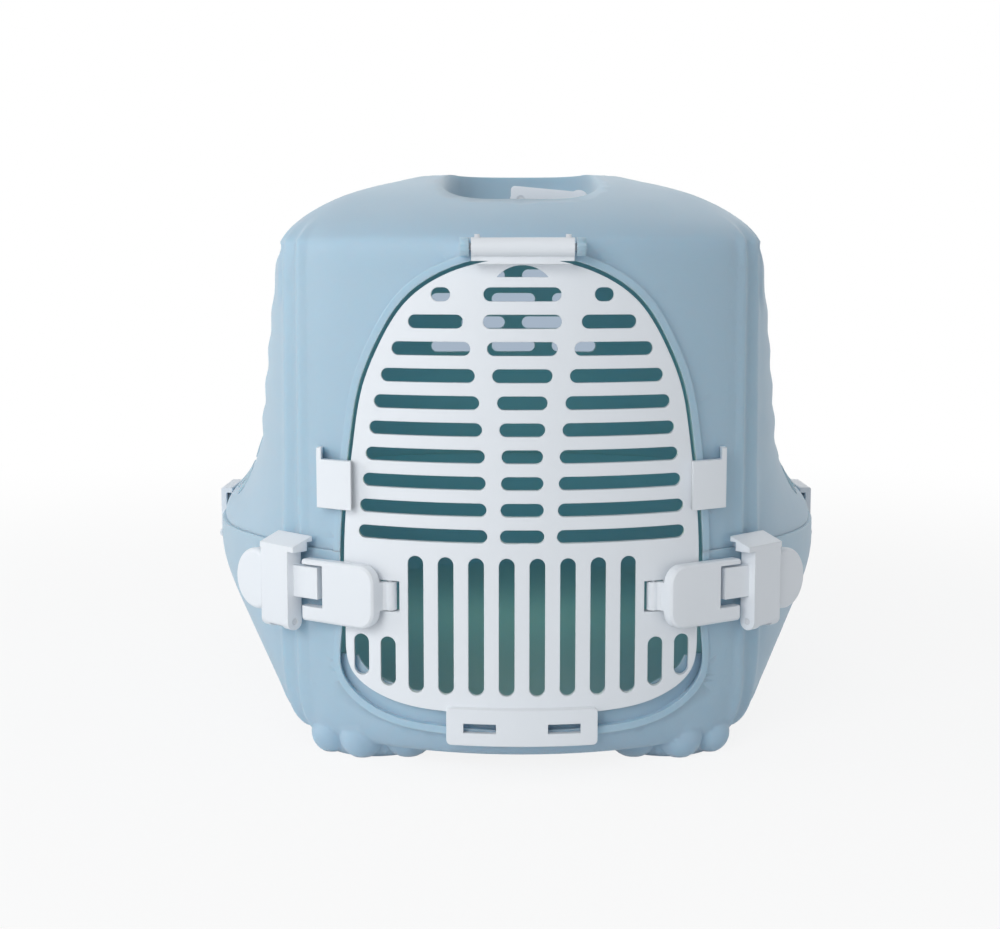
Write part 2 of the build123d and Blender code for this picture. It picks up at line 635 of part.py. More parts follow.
door_inner_r = DOOR_R - DOOR_THICK
door_face = front_prism(front_outline(0.0, 0.0))
lock_half_x = (LOCK_HOLE_WIDE + LOCK_BOSS_RIM) / 2
lock_half_z = LOCK_HOLE_HIGH / 2 + LOCK_BOSS_RIM
tab_back = BEAD_R + TAB_STANDOFF
with BuildPart() as tab_face:
    with BuildSketch(front_view):
        with Locations((0, (TAB_LOW_Z + TAB_TOP_Z) / 2)):
            RectangleRounded(2 * TAB_HALF, TAB_TOP_Z - TAB_LOW_Z, TAB_CORNER)
    extrude(amount=220)
with BuildPart() as door_plate:
    add(door_face & nose_band(door_inner_r, DOOR_R, 20.0, 236.0))
    # thicker round the lock holes, to hold the lever pins
    for side in (-1, 1):
        lock_boss = block((side * LEVER_PIN_X - lock_half_x, -260, LOCK_Z - lock_half_z),
                          (side * LEVER_PIN_X + lock_half_x, -150, LOCK_Z + lock_half_z))
        add(lock_boss & nose_band(door_inner_r - LOCK_BOSS_DEEP, door_inner_r, 20.0, 236.0))
    # bottom tab, in front of the bead
    add(tab_face.part & nose_band(tab_back, tab_back + TAB_THICK, 10.0, 60.0))
    add(tab_face.part & door_face & nose_band(door_inner_r, tab_back + TAB_THICK, 10.0, 60.0))
    # side guides that lap over the bead
    for side in (-1, 1):
        guide = block((min(side * GUIDE_INNER_X, side * GUIDE_OUTER_X), -260, GUIDE_LOW_Z),
                      (max(side * GUIDE_INNER_X, side * GUIDE_OUTER_X), -150, GUIDE_TOP_Z))
        add(guide & nose_band(tab_back, tab_back + GUIDE_THICK, 100.0, 160.0))
        add(guide & door_face & nose_band(door_inner_r, tab_back + GUIDE_THICK, 100.0, 160.0))
        fin = block((min(side * (GUIDE_OUTER_X - GUIDE_LIP), side * GUIDE_OUTER_X), -260, GUIDE_LOW_Z),
                    (max(side * (GUIDE_OUTER_X - GUIDE_LIP), side * GUIDE_OUTER_X), -150, GUIDE_FIN_Z))
        add(fin & nose_band(NOSE_R + 0.9, tab_back + GUIDE_THICK, 100.0, 160.0))
    # hinge barrel on a web that stands off the top edge
    web_front = NOSE_Y - HINGE_R
    web_low = block((-BARREL_HALF, web_front, WEB_LOW_Z), (BARREL_HALF, NOSE_Y - door_inner_r, HINGE_Z))
    add(door_face & web_low)
    add(block((-BARREL_HALF, web_front, WEB_LOW_Z + WEB_STEP),
              (BARREL_HALF, NOSE_Y - BEAD_R - BEAD_CLEAR, HINGE_Z)))
    add(rod(hinge_axis, BARREL_R, 2 * BARREL_HALF))
    for side in (-1, 1):
        add(block((side * POST_X - POST_WIDE / 2, web_front - POST_WIDE / 2, HINGE_Z),
                  (side * POST_X + POST_WIDE / 2, web_front + POST_WIDE / 2, HINGE_Z + POST_RISE)))
    add(door_slots.part, mode=Mode.SUBTRACT)
    add(door_bores, mode=Mode.SUBTRACT)

# Lever pins stand upright in the door
lever_pin_r = DOOR_R - LEVER_PIN_DEEP
lever_turn = math.degrees(math.asin(LEVER_PIN_X / lever_pin_r))
lever_foot = corner_plane(lever_turn, lever_pin_r, LOCK_Z)
lever_axis = Plane(origin=lever_foot.origin, x_dir=lever_foot.x_dir, z_dir=(0, 0, 1))
lever_bore = rod(lever_axis, LEVER_PIN_R + PIN_CLEAR, LEVER_PIN_LONG + 0.4)
with BuildPart() as door:
    add(door_plate.part)
    add(lever_bore, mode=Mode.SUBTRACT)
    add(mirror(lever_bore, about=Plane.YZ), mode=Mode.SUBTRACT)

# Latch lever: plate with a notch, on an arm that turns in the lock hole
lever_face = corner_plane(LEVER_YAW, LEVER_BACK)
slant = math.radians(LEVER_YAW - lever_turn)
pin_along = lever_pin_r * math.sin(slant)
plate_end = pin_along - LEVER_START
plate_start = plate_end - LEVER_LONG
plate_mid_z = (LEVER_LOW_Z + LEVER_TOP_Z) / 2
with BuildPart() as lever_plate:
    with BuildSketch(lever_face):
        with Locations(((plate_start + plate_end) / 2, plate_mid_z)):
            Rectangle(LEVER_LONG, LEVER_TOP_Z - LEVER_LOW_Z)
        fillet(vertices().group_by(Axis.X)[-1], LEVER_CORNER)
        fillet(vertices().group_by(Axis.X)[0], LEVER_CORNER / 5)
    extrude(amount=LEVER_THICK)
    chamfer(faces().sort_by(Axis(lever_face.origin, lever_face.z_dir))[-1].edges(), LEVER_EDGE)
    with BuildSketch(lever_face.offset(-1)):
        with Locations((plate_start + NOTCH_LONG / 2 - 1, (NOTCH_LOW_Z + NOTCH_TOP_Z) / 2)):
            Rectangle(NOTCH_LONG + 2, NOTCH_TOP_Z - NOTCH_LOW_Z)
    extrude(amount=LEVER_THICK + 2, mode=Mode.SUBTRACT)
arm_half = LOCK_HOLE_HIGH / 2 - LOCK_SIDE_GAP
arm_plane = Plane(origin=lever_axis.origin, x_dir=lever_foot.x_dir,
                  z_dir=lever_foot.x_dir.cross(lever_foot.z_dir))
plate_height = LEVER_BACK - lever_pin_r * math.cos(slant)
arm_top = plate_height + 1.5
arm_corners = ((-LEVER_EYE_R, 0.0), (-7.5, arm_top), (-3.2, arm_top), (-2.3, 3.6), (0.0, 2.0), (0.0, 0.0))
with BuildPart() as left_latch_lever:
    add(lever_plate.part)
    add(slab(arm_plane, arm_corners, 2 * arm_half))
    add(rod(lever_axis, LEVER_EYE_R, 2 * arm_half))
    add(lever_bore, mode=Mode.SUBTRACT)

# Corner clip
hook_in_r = CLIP_FACE_R - CLIP_THICK - HOOK_REACH
bar_in_r = CLIP_FACE_R - CLIP_THICK
bar_corners = ((bar_in_r, CLIP_PIN_Z), (CLIP_FACE_R, CLIP_PIN_Z), (CLIP_FACE_R, CLIP_TOP_Z),
               (bar_in_r, CLIP_TOP_Z + HOOK_RISE))
hook_corners = ((CLIP_FACE_R, CLIP_TOP_Z - HOOK_THICK), (CLIP_FACE_R, CLIP_TOP_Z),
                (hook_in_r, CLIP_TOP_Z + HOOK_RISE + HOOK_THICK), (hook_in_r, CLIP_TOP_Z + HOOK_RISE),
                (bar_in_r, CLIP_TOP_Z + HOOK_RISE), (bar_in_r, CLIP_TOP_Z - HOOK_THICK))
pad_plane = corner_plane(CLIP_ANGLE, bar_in_r)
notch_end = plate_start + NOTCH_LONG
tongue_end = notch_end - TONGUE_GAP
with BuildPart() as thumb_pad:
    with BuildSketch(pad_plane):
        with Locations((-CLIP_WIDE / 2 - PAD_OUT, PAD_Z)):
            Circle(PAD_R)
    extrude(amount=PAD_THICK)
    fillet(edges().sort_by(Axis(pad_plane.origin, pad_plane.z_dir))[-1], PAD_ROUND)
with BuildPart() as tongue:
    with BuildSketch(lever_face.offset(TONGUE_THICK / 4)):
        with Locations(((plate_start - 14.0 + tongue_end) / 2, (TONGUE_LOW_Z + TONGUE_TOP_Z) / 2)):
            Rectangle(tongue_end - plate_start + 14.0, TONGUE_TOP_Z - TONGUE_LOW_Z)
    extrude(amount=TONGUE_THICK)
with BuildPart() as left_front_clip:
    add(slab(clip_side, bar_corners, CLIP_WIDE))
    add(rod(clip_axis, CLIP_THICK / 2, CLIP_WIDE))
    add(slab(side_profile_plane(clip_face, HOOK_SHIFT), hook_corners, HOOK_WIDE))
    add(thumb_pad.part)
    add(tongue.part)
    # room for the lug behind the bar
    room_r = clip_pin_r + LUG_R + LUG_CLEAR
    room_top = CLIP_PIN_Z + LUG_R + LUG_CLEAR
    room_corners = ((bar_in_r - 3, CLIP_PIN_Z - 10), (room_r, CLIP_PIN_Z - 10),
                    (room_r, room_top), (bar_in_r - 3, room_top))
    add(slab(clip_side, room_corners, LUG_WIDE + 2 * LUG_CLEAR), mode=Mode.SUBTRACT)
    add(clip_bore, mode=Mode.SUBTRACT)

# Side clip
with BuildPart() as left_side_clip:
    half = SIDE_CLIP_LONG / 2
    add(block((-side_inner_x - SIDE_CLIP_THICK, SIDE_CLIP_Y - half, SIDE_PIN_Z),
              (-side_inner_x, SIDE_CLIP_Y + half, SIDE_HOOK_Z + SIDE_HOOK_THICK)))
    add(block((-side_inner_x - SIDE_CLIP_THICK, SIDE_CLIP_Y - half, SIDE_HOOK_Z),
              (-side_inner_x + SIDE_HOOK_REACH, SIDE_CLIP_Y + half, SIDE_HOOK_Z + SIDE_HOOK_THICK)))
    fillet(left_side_clip.edges().filter_by(Axis.Y).group_by(Axis.Z)[-1], SIDE_HOOK_THICK / 3)
    add(rod(side_axis, SIDE_EYE_R, SIDE_CLIP_LONG))
    room_half = SIDE_LUG_LONG / 2 + LUG_CLEAR
    add(block((-side_pin_x - 6, SIDE_CLIP_Y - room_half, SIDE_PIN_Z - 6),
              (-side_pin_x + 6, SIDE_CLIP_Y + room_half, SIDE_PIN_Z + SIDE_LUG_R + LUG_CLEAR)),
        mode=Mode.SUBTRACT)
    add(side_bore, mode=Mode.SUBTRACT)

# Carry handle: two arms and a grip, folded to the right
with BuildPart() as handle:
    for side in (-1, 1):
        middle = SCOOP_Y + side * HANDLE_HALF_Y
        with BuildSketch(Plane.XZ.offset(-middle - ARM_THICK / 2)):
            with BuildLine():
                Polyline((-ARM_BACK, HANDLE_PIN_Z - ARM_ROOT_HALF), (-ARM_BACK, HANDLE_PIN_Z + ARM_ROOT_HALF),
                         (ARM_LONG, HANDLE_PIN_Z + ARM_TIP_HALF), (ARM_LONG, HANDLE_PIN_Z - ARM_TIP_HALF),
                         close=True)
            make_face()
            fillet(vertices().group_by(Axis.X)[0], 1.8)
        extrude(amount=ARM_THICK)
    add(rod(Plane(origin=(ARM_LONG, SCOOP_Y, HANDLE_PIN_Z), z_dir=(0, 1, 0)), GRIP_R,
            2 * HANDLE_HALF_Y + ARM_THICK))
    add(handle_bore, mode=Mode.SUBTRACT)

# Hinge pins
pin_parts = {}
handle_pin_long = ARM_THICK + EAR_GAP + EAR_THICK
handle_pin_reach = ear_reach + (ARM_THICK + EAR_GAP) / 2
for name, side in (("front", -1), ("rear", 1)):
    pin_parts[name + "_handle_pin"] = rod(handle_axis.offset(-side * handle_pin_reach), HANDLE_PIN_R,
                                          handle_pin_long - 0.4)
for name, side in (("left", -1), ("right", 1)):
    pin_parts[name + "_door_pin"] = rod(hinge_axis.offset(side * pin_middle), DOOR_PIN_R, pin_length)
pin_parts["left_front_clip_pin"] = rod(clip_axis, CLIP_PIN_R, CLIP_WIDE - 0.6)
pin_parts["left_side_clip_pin"] = rod(side_axis, SIDE_PIN_R, SIDE_CLIP_LONG - 0.6)
pin_parts["left_lever_pin"] = rod(lever_axis, LEVER_PIN_R, LEVER_PIN_LONG)

pieces = {"lower_shell": lower_shell.part, "upper_shell": upper_shell.part, "door": door.part,
          "handle": handle.part, "left_latch_lever": left_latch_lever.part,
          "left_front_clip": left_front_clip.part, "left_side_clip": left_side_clip.part}
pieces.update(pin_parts)
for name in list(pieces):
    if name.startswith("left_") and name != "left_door_pin":
        pieces["right_" + name[5:]] = mirror(pieces[name], about=Plane.YZ)

os.makedirs("parts", exist_ok=True)
for name, piece in pieces.items():
    piece.label = name
    export_step(piece, "parts/" + name + ".step")
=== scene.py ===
import math

import bmesh
import bpy
from bpy.props import FloatProperty, FloatVectorProperty, IntProperty, PointerProperty
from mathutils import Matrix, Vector


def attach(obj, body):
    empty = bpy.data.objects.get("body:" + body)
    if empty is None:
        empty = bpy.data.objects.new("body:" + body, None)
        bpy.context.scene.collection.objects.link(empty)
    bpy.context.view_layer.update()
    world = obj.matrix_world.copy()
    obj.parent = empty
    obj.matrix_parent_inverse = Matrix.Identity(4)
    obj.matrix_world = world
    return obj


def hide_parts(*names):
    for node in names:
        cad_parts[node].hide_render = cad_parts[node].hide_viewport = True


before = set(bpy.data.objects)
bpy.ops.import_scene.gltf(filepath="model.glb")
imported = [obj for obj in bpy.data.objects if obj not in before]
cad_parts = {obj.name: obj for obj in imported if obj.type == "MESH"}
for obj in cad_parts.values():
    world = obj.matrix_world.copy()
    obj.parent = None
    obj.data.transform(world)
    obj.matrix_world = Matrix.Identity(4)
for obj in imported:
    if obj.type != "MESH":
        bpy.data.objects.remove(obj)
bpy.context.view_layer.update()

bl_info = {
    "name": "Pet Carrier Finish",
    "version": (1, 0, 0),
    "blender": (4, 5, 0),
    "location": "3D View > Sidebar > Carrier",
    "description": "Finishes a hard-shell pet carrier: shells, door, latches, handle, vent rims and studio",
    "category": "Object",
}

MM = 0.001

# Vents in the sides of the top, as (height, opening height), and where their row stands
SIDE_VENT_ROWS = ((150.0, 6.0), (129.0, 12.0), (109.5, 14.0))
SIDE_VENT_MIDDLE_Y = 20.0
REAR_VENT_TOP_Z = 222.0

# The round front: its centre, the radii its faces lie between, and where it ends
NOSE_Y = -90.0
FRONT_RADIUS = (142.0, 158.0)
FRONT_END_Y = -190.0
UPRIGHT_LIMIT = 0.02
OUTWARD_LIMIT = 0.995

# Copies of the CAD meshes: distance under which points merge, and their angles in degrees
MERGE_DISTANCE = 1e-6
FLAT_ANGLE = 0.5
SMOOTH_ANGLE = 35.0
ROUNDED_ANGLE = 30.0
TRIM_ROUNDING = 0.5

# Start of the rays that lay the vent rims, and the fewest faces that the rims can have
SIDE_CAST_X = 0.25
REAR_CAST_Y = 0.4
FEWEST_RIM_FACES = 1000

# The camera's sensor and reach, what the lamps aim at, and the middle of the cabin
SENSOR_WIDTH = 36.0
NEAREST_SEEN = 0.02
FARTHEST_SEEN = 60.0
LAMP_TARGET = (0.0, 0.0, 0.12)
CABIN_MIDDLE = (0.0, 0.05, 0.11)

# Lamps, as (name, place, size, setting that holds the power, share of it)
LAMPS = (
    ("Key", (-1.0, -1.9, 1.0), 1.2, "key_power", 1.0),
    ("Left side", (-1.7, -0.3, 0.6), 0.9, "fill_power", 1.0),
    ("Right side", (1.7, -0.3, 0.8), 1.2, "fill_power", 0.12),
    ("Rear", (0.3, 1.8, 1.0), 1.4, "fill_power", 0.5),
)

# Distances from the middle between which the floor turns to plain white, and how white it is at each
FLOOR_FADE_FROM = (0.25, 1.1)
FLOOR_FADE_TO = (0.86, 1.0)

# Card behind the rear vents: half its width, its place, its height, and the cosine that shows it
CARD_HALF_X = 0.12
CARD_Y = 0.27
CARD_Z = (0.12, 0.25)
HEAD_ON = 0.972

MOVING_TRIM = (
    ("handle", "handle"),
    ("left_latch_lever", "left_latch_lever"),
    ("right_latch_lever", "right_latch_lever"),
    ("left_front_clip", "left_front_clip"),
    ("right_front_clip", "right_front_clip"),
    ("left_side_clip", "left_side_clip"),
    ("right_side_clip", "right_side_clip"),
)


class CARRIER_PG_finish(bpy.types.PropertyGroup):
    """Colours and moulded texture of the plastics."""

    shell_colour: FloatVectorProperty(
        name="Shell colour", description="Base colour of the two shells",
        subtype="COLOR", size=3, min=0.0, max=1.0, default=(0.42, 0.58, 0.71))
    # Painted highlight: the shell's edges are lightened to this colour to stand for the light they catch,
    # not for rubbing.
    shell_edge_highlight: FloatVectorProperty(
        name="Shell edge colour", description="Colour that rubbed shell edges turn to",
        subtype="COLOR", size=3, min=0.0, max=1.0, default=(0.52, 0.68, 0.79))
    trim_colour: FloatVectorProperty(
        name="Trim colour", description="Base colour of the door, latches and handle",
        subtype="COLOR", size=3, min=0.0, max=1.0, default=(0.85, 0.89, 0.935))
    trim_worn: FloatVectorProperty(
        name="Trim edge colour", description="Colour that rubbed trim edges turn to",
        subtype="COLOR", size=3, min=0.0, max=1.0, default=(0.90, 0.93, 0.96))
    pin_colour: FloatVectorProperty(
        name="Pin colour", description="Base colour of the hinge pins",
        subtype="COLOR", size=3, min=0.0, max=1.0, default=(0.70, 0.73, 0.76))
    grain_size: FloatProperty(
        name="Grain size", description="Distance between the grains of the moulded texture",
        subtype="DISTANCE", unit="LENGTH", min=0.0001, max=0.01, default=0.0009)
    grain_depth: FloatProperty(
        name="Grain depth", description="Height of the moulded texture",
        subtype="DISTANCE", unit="LENGTH", min=0.0, max=0.001, default=0.00004)
    milky_depth: FloatProperty(
        name="Milky depth", description="How far light travels in the shell plastic",
        subtype="DISTANCE", unit="LENGTH", min=0.0, max=0.05, default=0.007)
    edge_radius: FloatProperty(
        name="Edge radius", description="Radius that moulded edges are rounded to",
        subtype="DISTANCE", unit="LENGTH", min=0.0, max=0.005, default=0.0007)


class CARRIER_PG_vents(bpy.types.PropertyGroup):
    """Rounded lips round the vent openings."""

    rim_radius: FloatProperty(
        name="Rim radius", description="Radius of the rounded lip round each vent",
        subtype="DISTANCE", unit="LENGTH", min=0.0001, max=0.003, default=0.0007)
    side_width: FloatProperty(
        name="Side vent width", description="Width of a vent in the side",
        subtype="DISTANCE", unit="LENGTH", min=0.002, max=0.05, default=0.009)
    side_pitch: FloatProperty(
        name="Side vent pitch", description="Distance between the vents of a row in the side",
        subtype="DISTANCE", unit="LENGTH", min=0.005, max=0.1, default=0.028)
    side_count: IntProperty(
        name="Side vents in a row", description="Number of vents in each row of the side",
        min=1, max=20, default=6)
    rear_width: FloatProperty(
        name="Rear vent width", description="Length of a slot in the rear",
        subtype="DISTANCE", unit="LENGTH", min=0.005, max=0.1, default=0.032)
    rear_height: FloatProperty(
        name="Rear vent height", description="Height of a slot in the rear",
        subtype="DISTANCE", unit="LENGTH", min=0.002, max=0.05, default=0.009)
    rear_pitch: FloatProperty(
        name="Rear vent pitch", description="Distance between the slots of a row in the rear",
        subtype="DISTANCE", unit="LENGTH", min=0.01, max=0.2, default=0.044)
    rear_rise: FloatProperty(
        name="Rear row pitch", description="Height from one row of rear slots to the next",
        subtype="DISTANCE", unit="LENGTH", min=0.005, max=0.1, default=0.017)
    rear_rows: IntProperty(
        name="Rear rows", description="Rows of slots in the rear", min=1, max=10, default=4)


class CARRIER_PG_studio(bpy.types.PropertyGroup):
    """Camera, lamps and floor."""

    lens: FloatProperty(
        name="Lens", description="Focal length for a sensor 36 mm wide", min=10.0, max=300.0, default=57.6)
    camera_place: FloatVectorProperty(
        name="Camera place", description="Where the camera stands",
        subtype="TRANSLATION", unit="LENGTH", size=3, default=(-0.0097, -0.930, 0.22228))
    camera_tilt: FloatProperty(
        name="Camera tilt", description="How far the camera looks down",
        subtype="ANGLE", unit="ROTATION", default=math.radians(6.7545))
    key_power: FloatProperty(
        name="Key lamp", description="Power of the large lamp to the left before the carrier",
        subtype="POWER", unit="POWER", min=0.0, max=500.0, default=17.0)
    fill_power: FloatProperty(
        name="Side lamps", description="Power of the softer lamps at the sides",
        subtype="POWER", unit="POWER", min=0.0, max=500.0, default=5.8)
    sky_level: FloatProperty(
        name="Surround level", description="Strength of the even light all round",
        min=0.0, max=2.0, default=0.42)
    cabin_power: FloatProperty(
        name="Cabin glow", description="Power of the light that comes through the milky shells",
        subtype="POWER", unit="POWER", min=0.0, max=5.0, default=0.11)
    backdrop: FloatVectorProperty(
        name="Backdrop", description="Tone seen through the rear vents from straight in front",
        subtype="COLOR", size=3, min=0.0, max=1.0, default=(0.38, 0.46, 0.56))
    floor_half: FloatProperty(
        name="Floor half width", description="Half the width of the floor",
        subtype="DISTANCE", unit="LENGTH", min=0.5, max=50.0, default=12.0)


# Node helpers

def add_node(tree, kind, **values):
    """New node with its inputs set by name, and its settings by attribute."""
    made = tree.nodes.new(kind)
    for name, value in values.items():
        if hasattr(made, name):
            setattr(made, name, value)
        else:
            made.inputs[name.replace("_", " ")].default_value = value
    return made


def new_tree(name, kind, inputs, outputs):
    """Node group with named sockets; inputs are (name, socket kind, default)."""
    tree = bpy.data.node_groups.new(name, kind)
    for label, socket, default in inputs:
        made = tree.interface.new_socket(label, in_out="INPUT", socket_type=socket)
        if default is not None:
            made.default_value = default
    for label, socket in outputs:
        tree.interface.new_socket(label, in_out="OUTPUT", socket_type=socket)
    return tree, tree.nodes.new("NodeGroupInput"), tree.nodes.new("NodeGroupOutput")


def shader_group(name, build):
    """The named shader group, built the first time it is asked for."""
    return bpy.data.node_groups.get(name) or build(name)


def build_moulded_surface(name):
    """Fine moulded grain, slow tone drift and patchy gloss."""
    tree, given, result = new_tree(
        name, "ShaderNodeTree",
        (("Vector", "NodeSocketVector", None), ("Colour", "NodeSocketColor", (0.5, 0.5, 0.5, 1.0)),
         ("Tone Spread", "NodeSocketFloat", 0.05), ("Grain Scale", "NodeSocketFloat", 1000.0),
         ("Roughness", "NodeSocketFloat", 0.45), ("Gloss Spread", "NodeSocketFloat", 0.08)),
        (("Colour", "NodeSocketColor"), ("Roughness", "NodeSocketFloat"), ("Height", "NodeSocketFloat")))
    link = tree.links.new
    drift = add_node(tree, "ShaderNodeTexNoise", Scale=7.0, Detail=2.0)
    patches = add_node(tree, "ShaderNodeTexNoise", Scale=38.0, Detail=3.0)
    grain = add_node(tree, "ShaderNodeTexNoise", Detail=2.0, Roughness=0.6)
    pores = add_node(tree, "ShaderNodeTexVoronoi", feature="SMOOTH_F1")
    for texture in (drift, patches, grain, pores):
        link(given.outputs["Vector"], texture.inputs["Vector"])
    link(given.outputs["Grain Scale"], grain.inputs["Scale"])
    link(given.outputs["Grain Scale"], pores.inputs["Scale"])

    # Tone: one plus or minus the spread, times the colour
    centred = add_node(tree, "ShaderNodeMath", operation="SUBTRACT")
    centred.inputs[1].default_value = 0.5
    link(drift.outputs["Fac"], centred.inputs[0])
    spread = add_node(tree, "ShaderNodeMath", operation="MULTIPLY_ADD")
    spread.inputs[2].default_value = 1.0
    link(centred.outputs[0], spread.inputs[0])
    link(given.outputs["Tone Spread"], spread.inputs[1])
    toned = add_node(tree, "ShaderNodeVectorMath", operation="SCALE")
    link(given.outputs["Colour"], toned.inputs[0])
    link(spread.outputs[0], toned.inputs["Scale"])
    link(toned.outputs["Vector"], result.inputs["Colour"])

    # Gloss
    off = add_node(tree, "ShaderNodeMath", operation="SUBTRACT")
    off.inputs[1].default_value = 0.5
    link(patches.outputs["Fac"], off.inputs[0])
    gloss = add_node(tree, "ShaderNodeMath", operation="MULTIPLY_ADD", use_clamp=True)
    link(off.outputs[0], gloss.inputs[0])
    link(given.outputs["Gloss Spread"], gloss.inputs[1])
    link(given.outputs["Roughness"], gloss.inputs[2])
    link(gloss.outputs[0], result.inputs["Roughness"])

    # Grain height: soft bumps with finer pores between them
    height = add_node(tree, "ShaderNodeMath", operation="MULTIPLY_ADD")
    height.inputs[1].default_value = 0.5
    link(pores.outputs["Distance"], height.inputs[0])
    link(grain.outputs["Fac"], height.inputs[2])
    link(height.outputs[0], result.inputs["Height"])
    return tree


def build_edge_wear_and_highlight(name):
    """Rounded normal of the moulded edges, and a broken mask that lightens them: wear where hands rub the
    trim, and a painted highlight on the shell's edges.
    """
    tree, given, result = new_tree(
        name, "ShaderNodeTree",
        (("Vector", "NodeSocketVector", None), ("Radius", "NodeSocketFloat", 0.0007),
         ("Colour", "NodeSocketColor", (0.5, 0.5, 0.5, 1.0)),
         ("Worn And Lit Colour", "NodeSocketColor", (0.8, 0.8, 0.8, 1.0)), ("Amount", "NodeSocketFloat", 0.5)),
        (("Colour", "NodeSocketColor"), ("Mask", "NodeSocketFloat"), ("Normal", "NodeSocketVector")))
    link = tree.links.new
    rounded = add_node(tree, "ShaderNodeBevel", samples=4)
    link(given.outputs["Radius"], rounded.inputs["Radius"])
    plain = add_node(tree, "ShaderNodeNewGeometry")
    facing = add_node(tree, "ShaderNodeVectorMath", operation="DOT_PRODUCT")
    link(rounded.outputs["Normal"], facing.inputs[0])
    link(plain.outputs["Normal"], facing.inputs[1])
    edge = add_node(tree, "ShaderNodeMapRange")
    edge.inputs["From Min"].default_value = 0.97
    edge.inputs["From Max"].default_value = 0.75
    link(facing.outputs["Value"], edge.inputs["Value"])
    edge_patches = add_node(tree, "ShaderNodeTexNoise", Scale=120.0, Detail=3.0)
    link(given.outputs["Vector"], edge_patches.inputs["Vector"])
    broken = add_node(tree, "ShaderNodeMath", operation="MULTIPLY")
    link(edge.outputs["Result"], broken.inputs[0])
    link(edge_patches.outputs["Fac"], broken.inputs[1])
    mask = add_node(tree, "ShaderNodeMath", operation="MULTIPLY", use_clamp=True)
    link(broken.outputs[0], mask.inputs[0])
    link(given.outputs["Amount"], mask.inputs[1])
    # Edges turn to the lighter colour: wear on the trim, a painted highlight on the shell.
    blend = add_node(tree, "ShaderNodeMix", data_type="RGBA")
    link(mask.outputs[0], blend.inputs["Factor"])
    link(given.outputs["Colour"], blend.inputs[6])
    link(given.outputs["Worn And Lit Colour"], blend.inputs[7])
    link(blend.outputs[2], result.inputs["Colour"])
    link(mask.outputs[0], result.inputs["Mask"])
    link(rounded.outputs["Normal"], result.inputs["Normal"])
    return tree


def plastic(name, colour, worn_and_lit, roughness, wear_and_highlight, grain_share=1.0, milky=0.0, depth=(1.0, 1.0, 1.0)):
    """Moulded plastic: grain, tone drift, rounded edges lightened by wear on the trim and by a painted
    highlight on the shell; milky lets light through.
    """
    if name in bpy.data.materials:
        return bpy.data.materials[name]
    finish = bpy.context.scene.carrier_finish
    made = bpy.data.materials.new(name)
    made.use_nodes = True
    tree = made.node_tree
    link = tree.links.new
    shader = tree.nodes["Principled BSDF"]
    shader.inputs["IOR"].default_value = 1.46
    shader.inputs["Specular IOR Level"].default_value = 0.42
    shader.inputs["Subsurface Weight"].default_value = milky
    shader.inputs["Subsurface Radius"].default_value = depth
    shader.inputs["Subsurface Scale"].default_value = finish.milky_depth
    place = add_node(tree, "ShaderNodeTexCoord")

    wear_and_highlight_tree = shader_group("Edge Wear", build_edge_wear_and_highlight)
    edges = add_node(tree, "ShaderNodeGroup", node_tree=wear_and_highlight_tree)
    edges.inputs["Radius"].default_value = finish.edge_radius
    edges.inputs["Colour"].default_value = (*colour, 1.0)
    edges.inputs["Worn And Lit Colour"].default_value = (*worn_and_lit, 1.0)
    edges.inputs["Amount"].default_value = wear_and_highlight
    link(place.outputs["Object"], edges.inputs["Vector"])

    surface_tree = shader_group("Moulded Surface", build_moulded_surface)
    surface = add_node(tree, "ShaderNodeGroup", node_tree=surface_tree)
    surface.inputs["Tone Spread"].default_value = 0.06
    surface.inputs["Grain Scale"].default_value = 1.0 / (finish.grain_size * grain_share)
    surface.inputs["Roughness"].default_value = roughness
    surface.inputs["Gloss Spread"].default_value = 0.10
    link(place.outputs["Object"], surface.inputs["Vector"])
    link(edges.outputs["Colour"], surface.inputs["Colour"])

    bump = add_node(tree, "ShaderNodeBump", Strength=0.6)
    bump.inputs["Distance"].default_value = finish.grain_depth
    link(surface.outputs["Height"], bump.inputs["Height"])
    link(edges.outputs["Normal"], bump.inputs["Normal"])
    link(surface.outputs["Colour"], shader.inputs["Base Color"])
    link(surface.outputs["Roughness"], shader.inputs["Roughness"])
    link(bump.outputs["Normal"], shader.inputs["Normal"])
    return made


def shell_plastic():
    finish = bpy.context.scene.carrier_finish
    # The shell's edges are lightened strongly to the edge colour: a painted highlight, not wear.
    return plastic("shell_plastic", finish.shell_colour, finish.shell_edge_highlight, 0.46, 0.9,
                   milky=0.5, depth=(0.45, 0.9, 1.0))


def trim_plastic():
    finish = bpy.context.scene.carrier_finish
    return plastic("trim_plastic", finish.trim_colour, finish.trim_worn, 0.40, 0.35, 0.8)


def pin_plastic():
    finish = bpy.context.scene.carrier_finish
    return plastic("pin_plastic", finish.pin_colour, finish.trim_worn, 0.32, 0.3, 0.5)


# Mesh helpers

def even_front(mesh):
    """True normals on the upright round faces about the nose, which long thin faces would band."""
    normals = [loop.vector.copy() for loop in mesh.corner_normals]
    nose_y = NOSE_Y * MM
    for face in mesh.polygons:
        out = Vector((face.center.x, face.center.y - nose_y, 0.0))
        if out.length < FRONT_RADIUS[0] * MM or out.length > FRONT_RADIUS[1] * MM:
            continue
        if face.center.y > FRONT_END_Y * MM or abs(face.normal.z) > UPRIGHT_LIMIT:
            continue
        side = face.normal.dot(out.normalized())
        if abs(side) < OUTWARD_LIMIT:
            continue
        for index in face.loop_indices:
            corner = mesh.vertices[mesh.loops[index].vertex_index].co
            true = Vector((corner.x, corner.y - nose_y, 0.0)).normalized()
            normals[index] = true if side > 0 else -true
    mesh.normals_split_custom_set(normals)


